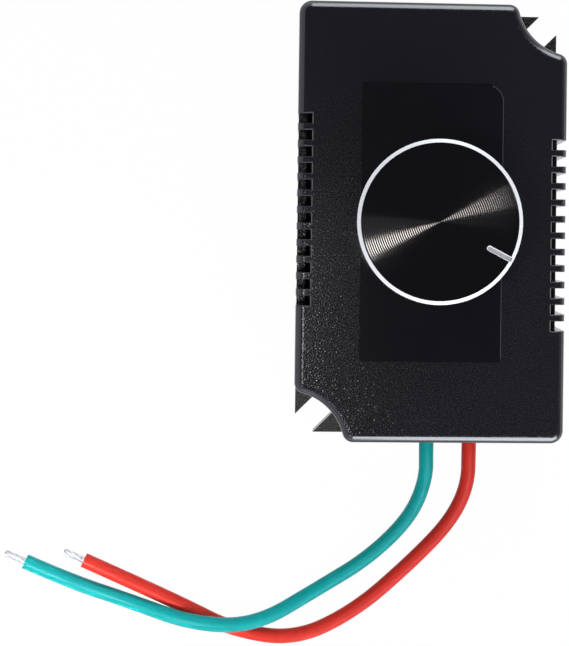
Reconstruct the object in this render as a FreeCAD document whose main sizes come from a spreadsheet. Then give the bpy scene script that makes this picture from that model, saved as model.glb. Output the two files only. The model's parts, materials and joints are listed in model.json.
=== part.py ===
import FreeCAD, Part
import math
import os
import Sketcher
from FreeCAD import Placement, Rotation, Vector

# Fan speed control switch: a phase-control regulator in a moulded cover on a heat sink base.
# Millimetres. The origin is the middle of the base's underside, +Z points out of the front face
# towards the knob, +Y towards the end away from the leads, +X to the right of someone reading it.

doc = FreeCAD.newDocument("fan_speed_control")
sheet = doc.addObject("Spreadsheet::Sheet", "sizes")


# Sizes that know both their number and their expression in the sheet

class Size:
    def __init__(self, value, text):
        self.value = value
        self.text = text

    def __add__(self, other):
        other = as_size(other)
        return Size(self.value + other.value, f"({self.text} + {other.text})")

    def __sub__(self, other):
        other = as_size(other)
        return Size(self.value - other.value, f"({self.text} - {other.text})")

    def __mul__(self, other):
        other = as_size(other)
        return Size(self.value * other.value, f"({self.text} * {other.text})")

    def __truediv__(self, other):
        other = as_size(other)
        return Size(self.value / other.value, f"({self.text} / {other.text})")

    def __radd__(self, other):
        return as_size(other) + self

    def __rsub__(self, other):
        return as_size(other) - self

    def __rmul__(self, other):
        return as_size(other) * self

    def __neg__(self):
        return Size(-self.value, f"(-{self.text})")


def as_size(number):
    return number if isinstance(number, Size) else Size(float(number), f"{float(number):.6f}")


def root(size):
    return Size(math.sqrt(size.value), f"sqrt({size.text})")


def cosine(angle):
    return Size(math.cos(math.radians(angle.value)), f"cos({angle.text})")


def sine(angle):
    return Size(math.sin(math.radians(angle.value)), f"sin({angle.text})")


row = 0


def size(alias, number):
    global row
    row += 1
    sheet.set(f"A{row}", alias)
    sheet.set(f"B{row}", str(number))
    sheet.setAlias(f"B{row}", alias)
    return Size(float(number), f"sizes.{alias}")


# Driving sizes of the base and the cover
case_width = size("case_width", 55.6)
case_length = size("case_length", 90.4)
plate_thick = size("plate_thick", 5.0)
land_width = size("land_width", 10.0)
groove_width = size("groove_width", 2.0)
groove_depth = size("groove_depth", 2.4)
groove_count = 10
ear_slot_width = size("ear_slot_width", 5.4)
ear_slot_reach = size("ear_slot_reach", 8.6)
cover_height = size("cover_height", 22.0)
cover_wall = size("cover_wall", 1.8)
cover_roof = size("cover_roof", 2.0)
draft_angle = size("draft_angle", 1.0)
edge_round = size("edge_round", 1.8)
corner_round = size("corner_round", 3.0)
notch_radius = size("notch_radius", 11.55)
notch_offset = size("notch_offset", 1.2)
notch_blend = size("notch_blend", 2.5)
vent_count = 12
vent_pitch = size("vent_pitch", 3.36)
vent_width = size("vent_width", 2.0)
vent_depth = size("vent_depth", 3.34)
vent_sill = size("vent_sill", 3.9)
vent_shift = size("vent_shift", 2.33)
vent_break = size("vent_break", 0.2)
boss_inset = size("boss_inset", 6.0)
boss_radius = size("boss_radius", 3.1)
seat_radius = size("seat_radius", 6.5)
seat_height = size("seat_height", 1.4)
cover_screw_length = size("cover_screw_length", 14.0)
rib_thick = size("rib_thick", 1.2)
rib_bite = size("rib_bite", 0.8)

# Driving sizes of the label on the front face
label_width = size("label_width", 28.7)
label_length = size("label_length", 56.4)
label_thick = size("label_thick", 0.3)
label_sink = size("label_sink", 0.2)
label_big_round = size("label_big_round", 3.5)
label_small_round = size("label_small_round", 1.0)
label_gap = size("label_gap", 0.1)
label_hole_radius = size("label_hole_radius", 7.0)

# Driving sizes of the knob
spindle_x = size("spindle_x", 0.65)
knob_radius = size("knob_radius", 16.0)
knob_height = size("knob_height", 17.0)
knob_gap = size("knob_gap", 0.5)
knob_wall = size("knob_wall", 1.5)
knob_roof = size("knob_roof", 1.8)
ring_width = size("ring_width", 0.76)
ring_fall = size("ring_fall", 0.5)
face_sink = size("face_sink", 0.25)
pointer_angle = size("pointer_angle", -27.5)
pointer_start = size("pointer_start", 10.8)
pointer_width = size("pointer_width", 1.0)
pointer_depth = size("pointer_depth", 0.35)
core_lift = size("core_lift", 2.5)
core_skin = size("core_skin", 1.4)
hub_radius = size("hub_radius", 5.2)
web_count = 6
web_bite = size("web_bite", 0.3)

# Driving sizes of the potentiometer
pot_height = size("pot_height", 8.5)
pot_radius = size("pot_radius", 8.3)
can_thick = size("can_thick", 0.4)
front_thick = size("front_thick", 1.5)
track_thick = size("track_thick", 1.0)
bush_radius = size("bush_radius", 3.5)
bush_length = size("bush_length", 7.0)
shaft_radius = size("shaft_radius", 3.0)
shaft_length = size("shaft_length", 15.0)
shaft_clearance = size("shaft_clearance", 0.05)
shaft_chamfer = size("shaft_chamfer", 0.6)
slit_width = size("slit_width", 1.0)
spline_length = size("spline_length", 7.0)
spline_count = 18
spline_depth = size("spline_depth", 0.4)
stub_radius = size("stub_radius", 2.25)
rivet_radius = size("rivet_radius", 2.75)
rivet_height = size("rivet_height", 0.5)
clip_inner_radius = size("clip_inner_radius", 2.5)
clip_outer_radius = size("clip_outer_radius", 4.2)
clip_thick = size("clip_thick", 0.6)
rotor_radius = size("rotor_radius", 6.6)
rotor_thick = size("rotor_thick", 2.8)
arm_root_radius = size("arm_root_radius", 5.9)
stop_gap = size("stop_gap", 0.15)
wiper_space = size("wiper_space", 0.6)
wiper_thick = size("wiper_thick", 0.25)
wiper_inset = size("wiper_inset", 0.8)
brush_radius = size("brush_radius", 0.6)
travel_angle = size("travel_angle", 300.0)
arm_angle = size("arm_angle", 20.0)
stop_play = size("stop_play", 1.0)
washer_radius = size("washer_radius", 6.0)
washer_thick = size("washer_thick", 0.5)
nut_flats = size("nut_flats", 10.0)
nut_thick = size("nut_thick", 2.0)
tag_pitch = size("tag_pitch", 5.0)
tag_width = size("tag_width", 1.6)
tag_thick = size("tag_thick", 0.4)
tag_reach = size("tag_reach", 10.6)

# Driving sizes of the board and what stands on it
board_side_room = size("board_side_room", 5.3)
board_end_room = size("board_end_room", 12.2)
board_thick = size("board_thick", 1.6)
standoff_flats = size("standoff_flats", 5.5)
standoff_inset = size("standoff_inset", 3.5)
screw_radius = size("screw_radius", 1.5)
screw_head_radius = size("screw_head_radius", 2.75)
screw_crown_radius = size("screw_crown_radius", 2.2)
screw_head_height = size("screw_head_height", 2.0)
sink_angle = size("sink_angle", 45.0)
tap_depth = size("tap_depth", 4.0)
screw_play = size("screw_play", 0.8)
drive_depth = size("drive_depth", 1.0)
drive_width = size("drive_width", 0.7)
hole_clearance = size("hole_clearance", 0.1)
fit_gap = size("fit_gap", 0.02)
pin_radius = size("pin_radius", 0.35)
pin_stub = size("pin_stub", 1.2)
capacitor_length = size("capacitor_length", 12.0)
capacitor_width = size("capacitor_width", 5.5)
capacitor_height = size("capacitor_height", 8.6)
capacitor_pitch = size("capacitor_pitch", 10.0)
capacitor_room = size("capacitor_room", 11.0)
capacitor_round = size("capacitor_round", 0.8)
resistor_radius = size("resistor_radius", 1.2)
resistor_length = size("resistor_length", 6.4)
resistor_pitch = size("resistor_pitch", 10.0)
resistor_back = size("resistor_back", 10.5)
resistor_room = size("resistor_room", 4.0)
column_pitch = size("column_pitch", 4.0)
diac_radius = size("diac_radius", 0.95)
diac_length = size("diac_length", 3.9)
diac_pitch = size("diac_pitch", 7.5)

# Driving sizes of the triac under the board
triac_x = size("triac_x", 0.0)
leg_room = size("leg_room", 1.0)
triac_width = size("triac_width", 10.2)
triac_body = size("triac_body", 9.0)
triac_thick = size("triac_thick", 4.5)
tab_length = size("tab_length", 6.6)
tab_thick = size("tab_thick", 1.3)
tab_hole_back = size("tab_hole_back", 2.8)
leg_pitch = size("leg_pitch", 2.54)
leg_width = size("leg_width", 0.8)
leg_thick = size("leg_thick", 0.5)
leg_lift = size("leg_lift", 2.4)
leg_reach = size("leg_reach", 3.4)
mould_angle = size("mould_angle", 3.0)
access_radius = size("access_radius", 3.4)

# Driving sizes of the two leads
lead_radius = size("lead_radius", 1.575)
lead_gap = size("lead_gap", 0.1)
green_exit_x = size("green_exit_x", 0.5)
red_exit_x = size("red_exit_x", 9.7)
strand_radius = size("strand_radius", 0.68)
strand_length = size("strand_length", 4.8)
lead_pad_room = size("lead_pad_room", 4.5)
lead_bend_room = size("lead_bend_room", 5.2)
lead_straight = size("lead_straight", 3.3)
bench_gap = size("bench_gap", 0.025)

# Levels above the surface that the object lies on, and centres that several pieces share
half_width = case_width / 2
half_length = case_length / 2
cover_top = plate_thick + cover_height
ceiling = cover_top - cover_roof
pot_front = ceiling - seat_height
board_top = pot_front - pot_height
board_under = board_top - board_thick
standoff_height = board_under - plate_thick
front_under = pot_front - front_thick
track_under = front_under - track_thick
shaft_tip = pot_front + shaft_length
knob_foot = cover_top + knob_gap
knob_top = knob_foot + knob_height
board_width = case_width - 2 * board_side_room
board_length = case_length - 2 * board_end_room
standoff_x = board_width / 2 - standoff_inset
standoff_y = board_length / 2 - standoff_inset
boss_x = half_width - boss_inset
boss_y = half_length - boss_inset
lead_level = plate_thick + lead_radius + lead_gap
lead_inner_y = -board_length / 2
lead_inner_z = (plate_thick + board_under) / 2
lead_pad_y = lead_inner_y + lead_pad_room
lead_bend_y = -half_length + lead_bend_room
capacitor_x = board_width / 2 - capacitor_room
capacitor_y = (lead_pad_y - tag_reach) / 2
resistor_y = standoff_y - resistor_back
resistor_outer_x = board_width / 2 - resistor_room
resistor_inner_x = resistor_outer_x - column_pitch
diac_x = resistor_inner_x - column_pitch
triac_legs_y = pot_radius + leg_room
triac_face_y = triac_legs_y + leg_reach
triac_screw_y = triac_face_y + triac_body + tab_length - tab_hole_back
standoff_places = [(x, y) for x in (-standoff_x, standoff_x) for y in (-standoff_y, standoff_y)]
resistor_columns = (-resistor_outer_x, -resistor_inner_x, resistor_inner_x, resistor_outer_x)
zero = as_size(0)
past = as_size(1)
hexagon_half_angle = as_size(30)


# Ways of building that all the pieces share

def new_body(name):
    body = doc.addObject("PartDesign::Body", name)
    body.Label = name
    return body


def datum(body, role):
    """One of the planes or axes of the body's own origin."""
    for feature in body.Origin.OriginFeatures:
        if feature.Role == role:
            return feature


def new_sketch(body, name, lift=zero, role="XY_Plane"):
    sketch = body.newObject("Sketcher::SketchObject", f"{body.Name}_{name}")
    sketch.AttachmentSupport = (datum(body, role), [""])
    sketch.MapMode = "FlatFace"
    sketch.AttachmentOffset = Placement(Vector(0, 0, lift.value), Rotation())
    sketch.setExpression("AttachmentOffset.Base.z", lift.text)
    return sketch


def constrain(sketch, kind, *places, amount):
    index = sketch.addConstraint(Sketcher.Constraint(kind, *places, amount.value))
    sketch.setExpression(f"Constraints[{index}]", amount.text)


def pin(sketch, edge, end, x, y):
    x = as_size(x)
    y = as_size(y)
    constrain(sketch, "DistanceX", -1, 1, edge, end, amount=x)
    constrain(sketch, "DistanceY", -1, 1, edge, end, amount=y)


def circle(sketch, x, y, radius):
    x = as_size(x)
    y = as_size(y)
    centre = Vector(x.value, y.value, 0)
    edge = sketch.addGeometry(Part.Circle(centre, Vector(0, 0, 1), radius.value), False)
    pin(sketch, edge, 3, x, y)
    constrain(sketch, "Radius", edge, amount=radius)


def line(x, y):
    return ("line", as_size(x), as_size(y), None, None, None, None)


def arc(x, y, centre_x, centre_y, radius, turn):
    """An arc that ends at x, y; turn is 1 for anticlockwise and -1 for clockwise."""
    return ("arc", as_size(x), as_size(y), as_size(centre_x), as_size(centre_y), radius, turn)


def outline(sketch, steps):
    """A closed outline; it starts where its last step ends."""
    ends = []
    start = steps[-1]
    for step in steps:
        kind, x, y, centre_x, centre_y, radius, turn = step
        first = Vector(start[1].value, start[2].value, 0)
        last = Vector(x.value, y.value, 0)
        if kind == "line":
            edge = sketch.addGeometry(Part.LineSegment(first, last), False)
            ends.append((edge, 1, 2))
        else:
            centre = Vector(centre_x.value, centre_y.value, 0)
            low, high = (first, last) if turn > 0 else (last, first)
            angles = [math.atan2(point.y - centre.y, point.x - centre.x) for point in (low, high)]
            if angles[1] <= angles[0]:
                angles[1] += 2 * math.pi
            round_edge = Part.Circle(centre, Vector(0, 0, 1), radius.value)
            edge = sketch.addGeometry(Part.ArcOfCircle(round_edge, angles[0], angles[1]), False)
            ends.append((edge, 1, 2) if turn > 0 else (edge, 2, 1))
        start = step
    for index, (edge, begin, end) in enumerate(ends):
        following = ends[(index + 1) % len(ends)]
        sketch.addConstraint(Sketcher.Constraint("Coincident", edge, end, following[0], following[1]))
    for index, ((edge, begin, end), step) in enumerate(zip(ends, steps)):
        kind, x, y, centre_x, centre_y, radius, turn = step
        pin(sketch, edge, end, x, y)
        if kind == "arc":
            # The centre can only slide across the chord, so one coordinate of it is enough
            chord_x = abs(x.value - steps[index - 1][1].value)
            chord_y = abs(y.value - steps[index - 1][2].value)
            way, amount = ("DistanceX", centre_x) if chord_y > chord_x else ("DistanceY", centre_y)
            constrain(sketch, way, -1, 1, edge, 3, amount=amount)


def rectangle(sketch, x_low, x_high, y_low, y_high):
    outline(sketch, [line(x_high, y_low), line(x_high, y_high), line(x_low, y_high), line(x_low, y_low)])


def polygon(sketch, points):
    outline(sketch, [line(x, y) for x, y in points])


def feature_of(body, kind, sketch, name):
    feature = body.newObject(f"PartDesign::{kind}", f"{body.Name}_{name}")
    feature.Profile = sketch
    return feature


def grow(body, kind, sketch, name, length, turned=False, taper=None):
    """A Pad or a Pocket of one length along the sketch's normal, or against it."""
    feature = feature_of(body, kind, sketch, name)
    feature.Length = length.value
    feature.setExpression("Length", length.text)
    feature.Reversed = turned
    if taper is not None:
        feature.TaperAngle = taper.value
        feature.setExpression("TaperAngle", taper.text)
    sketch.Visibility = False
    return feature


def pad(body, sketch, name, length, turned=False, taper=None):
    return grow(body, "Pad", sketch, name, length, turned, taper)


def pocket(body, sketch, name, length, upward=True, taper=None):
    """A cut that runs up from its sketch, or down from it; it must take something away."""
    doc.recompute()
    before = body.Tip.Shape.Volume
    feature = grow(body, "Pocket", sketch, name, length, upward, taper)
    doc.recompute()
    if not feature.Shape.Volume < before - 1e-4:
        raise RuntimeError(f"{feature.Name} cuts nothing")
    return feature


def revolve(body, sketch, name):
    feature = feature_of(body, "Revolution", sketch, name)
    feature.ReferenceAxis = (sketch, ["V_Axis"])
    feature.Angle = 360.0
    return feature


def turned_piece(name, points):
    """A piece turned about Z from a closed half section of (radius, level) points."""
    body = new_body(name)
    section = new_sketch(body, "section", role="XZ_Plane")
    polygon(section, points)
    revolve(body, section, "turning")
    return body


def ring_of(body, feature, name, count):
    pattern = body.newObject("PartDesign::PolarPattern", f"{body.Name}_{name}")
    pattern.Originals = [feature]
    pattern.Axis = (datum(body, "Z_Axis"), [""])
    pattern.Angle = 360.0
    pattern.Occurrences = count
    body.Tip = pattern
    return pattern


def row_of(body, feature, name, role, count, pitch):
    pattern = body.newObject("PartDesign::LinearPattern", f"{body.Name}_{name}")
    pattern.Originals = [feature]
    pattern.Direction = (datum(body, role), [""])
    span = pitch * (count - 1)
    pattern.Length = span.value
    pattern.setExpression("Length", span.text)
    pattern.Occurrences = count
    body.Tip = pattern
    return pattern


def place(piece, x=zero, y=zero, z=zero, turn=None):
    x = as_size(x)
    y = as_size(y)
    z = as_size(z)
    rotation = Rotation(Vector(0, 0, 1), turn.value if turn is not None else 0)
    piece.Placement = Placement(Vector(x.value, y.value, z.value), rotation)
    piece.setExpression("Placement.Base.x", x.text)
    piece.setExpression("Placement.Base.y", y.text)
    piece.setExpression("Placement.Base.z", z.text)
    if turn is not None:
        piece.Placement.Rotation.Axis = Vector(0, 0, 1)
        piece.setExpression("Placement.Rotation.Angle", turn.text)
    return piece


def primitive(kind, name, x, y, z, **lengths):
    """A Part primitive with its corner or the middle of its foot at x, y, z."""
    piece = doc.addObject(f"Part::{kind}", name)
    for key, length in lengths.items():
        setattr(piece, key, length.value)
        piece.setExpression(key, length.text)
    return place(piece, x, y, z)


def fuse(name, pieces):
    joined = doc.addObject("Part::MultiFuse", name)
    joined.Shapes = pieces
    return joined


def cut(name, base, tool):
    left = doc.addObject("Part::Cut", name)
    left.Base = base
    left.Tool = tool
    return left


def group(name, pieces):
    """Several like pieces kept as separate solids in one node."""
    together = doc.addObject("Part::Compound", name)
    together.Label = name
    together.Links = pieces
    return together


def round_edges(body, name, radius, wanted):
    """A fillet on the edges of the body's last feature that wanted picks out."""
    doc.recompute()
    base = body.Tip
    names = [f"Edge{i + 1}" for i, edge in enumerate(base.Shape.Edges) if wanted(edge)]
    feature = body.newObject("PartDesign::Fillet", f"{body.Name}_{name}")
    feature.Base = (base, names)
    feature.Radius = radius.value
    feature.setExpression("Radius", radius.text)
    return feature


def at_level(level):
    return lambda edge: all(abs(corner.Z - level.value) < 1e-4 for corner in edge.Vertexes)


nodes = []


def keep(piece):
    nodes.append(piece)
    return piece


# Heat sink: an extruded plate with lands at both sides, grooves under the middle and two open ears

def build_heat_sink():
    body = new_body("heat_sink")
    footprint = new_sketch(body, "footprint")
    rectangle(footprint, -half_width, half_width, -half_length, half_length)
    pad(body, footprint, "plate", plate_thick)

    ribbed = case_width - 2 * land_width
    pitch = ribbed / groove_count
    first = -ribbed / 2 + pitch / 2
    groove = new_sketch(body, "groove")
    past_end = half_length + past
    rectangle(groove, first - groove_width / 2, first + groove_width / 2, -past_end, past_end)
    cut_groove = pocket(body, groove, "first_groove", groove_depth)
    row_of(body, cut_groove, "grooves", "X_Axis", groove_count, pitch)

    # The ear is a slot along the corner's diagonal, open at the corner, for one fixing screw
    slope = math.sqrt(0.5)
    ear_x = half_width - ear_slot_reach * slope
    ear_y = half_length - ear_slot_reach * slope
    side = ear_slot_width / 2 * slope
    out = (ear_slot_reach + ear_slot_width) * slope
    ear = new_sketch(body, "ear")
    outline(ear, [
        line(ear_x + side + out, ear_y - side + out),
        line(ear_x - side + out, ear_y + side + out),
        line(ear_x - side, ear_y + side),
        arc(ear_x + side, ear_y - side, ear_x, ear_y, ear_slot_width / 2, 1),
    ])
    cut_ear = pocket(body, ear, "first_ear", plate_thick)
    ring_of(body, cut_ear, "ears", 2)

    holes = new_sketch(body, "tapped_holes")
    for x, y in standoff_places:
        circle(holes, x, y, screw_radius + fit_gap)
    circle(holes, triac_x, triac_screw_y, screw_radius + fit_gap)
    for x, y in ((-boss_x, boss_y), (boss_x, -boss_y)):
        circle(holes, x, y, screw_radius + hole_clearance)
    pocket(body, holes, "tapped_hole_cuts", plate_thick)

    sinks = new_sketch(body, "countersinks")
    for x, y in ((-boss_x, boss_y), (boss_x, -boss_y)):
        circle(sinks, x, y, screw_head_radius + hole_clearance)
    pocket(body, sinks, "countersink_cuts", screw_head_radius - screw_radius, taper=-sink_angle)
    return body


# Cover: a drafted moulding with two hollow corners, vents over both long edges and bosses inside

def case_outline(sketch, inset):
    """The cover's outline, set in by a wall: two round corners and two hollow ones."""
    wide = half_width - inset
    long = half_length - inset
    offset = notch_offset + inset
    hollow = notch_radius + inset
    blend = notch_blend - inset
    corner = corner_round - inset
    centre_x = wide + offset
    centre_y = long + offset
    drop = root((hollow + blend) * (hollow + blend) - (offset + blend) * (offset + blend))
    share = hollow / (hollow + blend)
    low_x = centre_x - (offset + blend) * share
    low_y = centre_y - drop * share
    high_x = centre_x - drop * share
    high_y = centre_y - (offset + blend) * share
    steps = []
    for way in (1, -1):
        steps += [
            line(way * wide, way * (centre_y - drop)),
            arc(way * low_x, way * low_y, way * (wide - blend), way * (centre_y - drop), blend, 1),
            arc(way * high_x, way * high_y, way * centre_x, way * centre_y, hollow, -1),
            arc(way * (centre_x - drop), way * long,
                way * (centre_x - drop), way * (long - blend), blend, 1),
            line(-way * (wide - corner), way * long),
            arc(-way * wide, way * (long - corner),
                -way * (wide - corner), way * (long - corner), corner, 1),
        ]
    outline(sketch, steps)


def build_cover():
    body = new_body("cover")
    outside = new_sketch(body, "outside", plate_thick)
    case_outline(outside, zero)
    pad(body, outside, "block", cover_height, taper=-draft_angle)
    round_edges(body, "top_round", edge_round, at_level(cover_top))

    inside = new_sketch(body, "inside", plate_thick)
    case_outline(inside, cover_wall)
    pocket(body, inside, "hollow", cover_height - cover_roof, taper=-draft_angle)

    # Two screw bosses stand in the round corners, tied to both walls by ribs
    reach_x = half_width - cover_wall + rib_bite
    reach_y = half_length - cover_wall + rib_bite
    inner_height = cover_height - cover_roof
    bosses = new_sketch(body, "bosses", plate_thick)
    circle(bosses, -boss_x, boss_y, boss_radius)
    circle(bosses, boss_x, -boss_y, boss_radius)
    pad(body, bosses, "boss_posts", inner_height)
    ribs = new_sketch(body, "boss_ribs", plate_thick)
    half_rib = rib_thick / 2
    for way in (1, -1):
        polygon(ribs, [
            (-way * (boss_x - half_rib), way * (boss_y - half_rib)),
            (-way * (boss_x - half_rib), way * reach_y),
            (-way * (boss_x + half_rib), way * reach_y),
            (-way * (boss_x + half_rib), way * (boss_y + half_rib)),
            (-way * reach_x, way * (boss_y + half_rib)),
            (-way * reach_x, way * (boss_y - half_rib)),
        ])
    pad(body, ribs, "boss_webs", inner_height)
    bores = new_sketch(body, "boss_bores", plate_thick)
    circle(bores, -boss_x, boss_y, screw_radius + fit_gap)
    circle(bores, boss_x, -boss_y, screw_radius + fit_gap)
    pocket(body, bores, "boss_bore_cuts", cover_screw_length - plate_thick + screw_play)

    # The roof bears on the potentiometer's front through a round seat with the spindle hole in it
    seat = new_sketch(body, "seat", pot_front)
    circle(seat, spindle_x, zero, seat_radius)
    pad(body, seat, "seat_post", seat_height)
    hole = new_sketch(body, "spindle_hole", pot_front)
    circle(hole, spindle_x, zero, bush_radius + hole_clearance)
    pocket(body, hole, "spindle_cut", cover_top - pot_front)

    recess = new_sketch(body, "label_recess", cover_top - label_sink)
    label_outline(recess, label_gap)
    pocket(body, recess, "label_cut", label_sink)

    # Vents: slots that run over both long edges and down the walls, the two rows set off lengthwise,
    # with their sharp mouths broken on the front face
    series = vent_pitch * (vent_count - 1)
    above = cover_height - vent_sill + past
    past_side = half_width + past
    for way, name in ((-1, "left"), (1, "right")):
        middle = -way * vent_shift
        first = middle - series / 2
        near = way * (half_width - vent_depth)
        far = way * past_side
        low, high = (far, near) if way < 0 else (near, far)
        mouth = new_sketch(body, f"{name}_mouth", cover_top)
        half_mouth = vent_width / 2 + vent_break
        rectangle(mouth, low - vent_break, high + vent_break, first - half_mouth, first + half_mouth)
        broken = pocket(body, mouth, f"{name}_first_mouth", vent_break, upward=False, taper=-sink_angle)
        row_of(body, broken, f"{name}_mouths", "Y_Axis", vent_count, vent_pitch)
        vent = new_sketch(body, f"{name}_vent", plate_thick + vent_sill)
        rectangle(vent, low, high, first - vent_width / 2, first + vent_width / 2)
        slot = pocket(body, vent, f"{name}_first_vent", above)
        row_of(body, slot, f"{name}_vents", "Y_Axis", vent_count, vent_pitch)

    # Two arched cut-outs at the foot of the end wall let the leads out over the base
    arches = new_sketch(body, "lead_arches", half_length - 2 * cover_wall, role="XZ_Plane")
    arch_radius = lead_radius + lead_gap
    for x in (green_exit_x, red_exit_x):
        outline(arches, [
            line(x + arch_radius, plate_thick - past),
            line(x + arch_radius, lead_level),
            arc(x - arch_radius, lead_level, x, lead_level, arch_radius, 1),
            line(x - arch_radius, plate_thick - past),
        ])
    pocket(body, arches, "lead_arch_cuts", 2 * cover_wall + past)
    return body


def label_outline(sketch, margin):
    """The label's outline: one large round corner, one small one and two square ones."""
    wide = label_width / 2 + margin
    long = label_length / 2 + margin
    big = label_big_round + margin
    small = label_small_round + margin
    outline(sketch, [
        line(wide - small, -long),
        arc(wide, -long + small, wide - small, -long + small, small, 1),
        line(wide, long - big),
        arc(wide - big, long, wide - big, long - big, big, 1),
        line(-wide, long),
        line(-wide, -long),
    ])


def build_label():
    body = new_body("face_label")
    film = new_sketch(body, "film", cover_top - label_sink)
    label_outline(film, zero)
    circle(film, spindle_x, zero, label_hole_radius)
    pad(body, film, "film_sheet", label_thick)
    return body


# Knob: a turned aluminium cap with a bright rim, pressed over a moulded core that grips the spindle

def build_knob_cap():
    inner = knob_radius - knob_wall
    rim = knob_radius - ring_width
    face = knob_top - face_sink
    under = knob_top - knob_roof
    body = turned_piece("knob_cap", [
        (inner, knob_foot),
        (knob_radius, knob_foot),
        (knob_radius, knob_top - ring_fall),
        (rim, knob_top),
        (rim, face),
        (zero, face),
        (zero, under),
        (inner, under),
    ])
    mark = new_sketch(body, "pointer", face - pointer_depth)
    half = pointer_width / 2
    mark_end = knob_radius - ring_width / 2
    outline(mark, [
        line(mark_end, -half),
        line(mark_end, half),
        line(pointer_start, half),
        arc(pointer_start, -half, pointer_start, zero, half, 1),
    ])
    pocket(body, mark, "pointer_cut", pointer_depth + face_sink)
    return place(body, spindle_x, turn=pointer_angle)


def build_knob_core():
    skin_outside = knob_radius - knob_wall - fit_gap
    skin_inside = skin_outside - core_skin
    top = knob_top - knob_roof - fit_gap
    roof = top - core_skin
    foot = knob_foot + core_lift
    hub_foot = pot_front + bush_length + knob_gap
    bore = shaft_radius + fit_gap
    body = turned_piece("knob_core", [
        (zero, top),
        (zero, shaft_tip + knob_gap),
        (bore, shaft_tip + knob_gap),
        (bore, hub_foot),
        (hub_radius, hub_foot),
        (hub_radius, roof),
        (skin_inside, roof),
        (skin_inside, foot),
        (skin_outside, foot),
        (skin_outside, top),
    ])
    web = new_sketch(body, "web", hub_foot + core_skin)
    rectangle(web, hub_radius - web_bite, skin_inside + web_bite, -rib_thick / 2, rib_thick / 2)
    first_web = pad(body, web, "first_web", roof - hub_foot - core_skin)
    ring_of(body, first_web, "webs", web_count)

    # Fine teeth in the bore fall into the spindle's splines
    tooth = new_sketch(body, "tooth", shaft_tip - spline_length)
    tip = shaft_radius - spline_depth + 2 * fit_gap
    half = spline_depth - 4 * fit_gap
    polygon(tooth, [(tip, zero), (bore + web_bite, -half), (bore + web_bite, half)])
    first_tooth = pad(body, tooth, "first_tooth", spline_length)
    ring_of(body, first_tooth, "teeth", spline_count)
    return place(body, spindle_x, turn=pointer_angle)


# Potentiometer: spindle, clip, rotor and wiper turn; front, track, tags, can, washer and nut stay

def build_pot_shaft():
    rotor_top = track_under - wiper_space
    rotor_under = rotor_top - rotor_thick
    neck = clip_inner_radius
    body = turned_piece("pot_shaft", [
        (zero, rotor_under - rivet_height),
        (rivet_radius, rotor_under - rivet_height),
        (rivet_radius, rotor_under - fit_gap),
        (stub_radius, rotor_under - fit_gap),
        (stub_radius, rotor_top),
        (shaft_radius, rotor_top),
        (shaft_radius, front_under - clip_thick - shaft_clearance * 2),
        (neck, front_under - clip_thick - shaft_clearance * 2),
        (neck, front_under),
        (shaft_radius, front_under),
        (shaft_radius, shaft_tip - shaft_chamfer),
        (shaft_radius - shaft_chamfer, shaft_tip),
        (zero, shaft_tip),
    ])
    groove = new_sketch(body, "spline_groove", shaft_tip - spline_length)
    half = spline_depth
    outer = shaft_radius + half
    polygon(groove, [(shaft_radius - spline_depth, zero), (outer, -2 * half), (outer, 2 * half)])
    first_groove = pocket(body, groove, "first_spline", spline_length + past)
    ring_of(body, first_groove, "splines", spline_count)
    slit = new_sketch(body, "slit", shaft_tip - spline_length)
    rectangle(slit, -shaft_radius - past, shaft_radius + past, -slit_width / 2, slit_width / 2)
    pocket(body, slit, "slit_cut", spline_length + past)
    return place(body, spindle_x, turn=pointer_angle)


def build_pot_clip():
    body = new_body("pot_clip")
    level = front_under - shaft_clearance - clip_thick
    ring = new_sketch(body, "ring", level)
    circle(ring, zero, zero, clip_outer_radius)
    circle(ring, zero, zero, clip_inner_radius + fit_gap)
    pad(body, ring, "clip_ring", clip_thick)
    mouth = new_sketch(body, "mouth", level)
    half = clip_inner_radius - fit_gap
    rectangle(mouth, zero, clip_outer_radius + past, -half, half)
    pocket(body, mouth, "mouth_cut", clip_thick)
    return place(body, spindle_x, turn=pointer_angle)


def sector(sketch, low, high, middle, spread):
    """A piece of a ring between two radii, spread degrees wide in all, about the direction middle."""
    first = middle - spread / 2
    last = middle + spread / 2
    outline(sketch, [
        arc(low * cosine(first), low * sine(first), zero, zero, low, -1),
        line(high * cosine(first), high * sine(first)),
        arc(high * cosine(last), high * sine(last), zero, zero, high, 1),
        line(low * cosine(last), low * sine(last)),
    ])


def build_pot_rotor():
    body = new_body("pot_rotor")
    top = track_under - wiper_space
    under = top - rotor_thick
    disc = new_sketch(body, "disc", under)
    circle(disc, zero, zero, rotor_radius)
    circle(disc, zero, zero, stub_radius + fit_gap)
    pad(body, disc, "rotor_disc", rotor_thick)
    arm = new_sketch(body, "arm", under)
    sector(arm, arm_root_radius, pot_radius - can_thick - stop_gap, zero, arm_angle)
    pad(body, arm, "stop_arm", rotor_thick)
    return place(body, spindle_x, turn=pointer_angle)


def build_pot_wiper():
    body = new_body("pot_wiper")
    level = track_under - wiper_space
    outer = rotor_radius - wiper_inset
    leaf = new_sketch(body, "leaf", level)
    circle(leaf, zero, zero, outer)
    circle(leaf, zero, zero, shaft_radius + stop_gap)
    pad(body, leaf, "wiper_leaf", wiper_thick)
    brush = new_sketch(body, "brush", level)
    middle = (outer + shaft_radius + stop_gap) / 2
    circle(brush, middle, zero, brush_radius)
    first_brush = pad(body, brush, "first_brush", wiper_space - shaft_clearance)
    ring_of(body, first_brush, "brushes", 2)
    return place(body, spindle_x, turn=pointer_angle)


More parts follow.
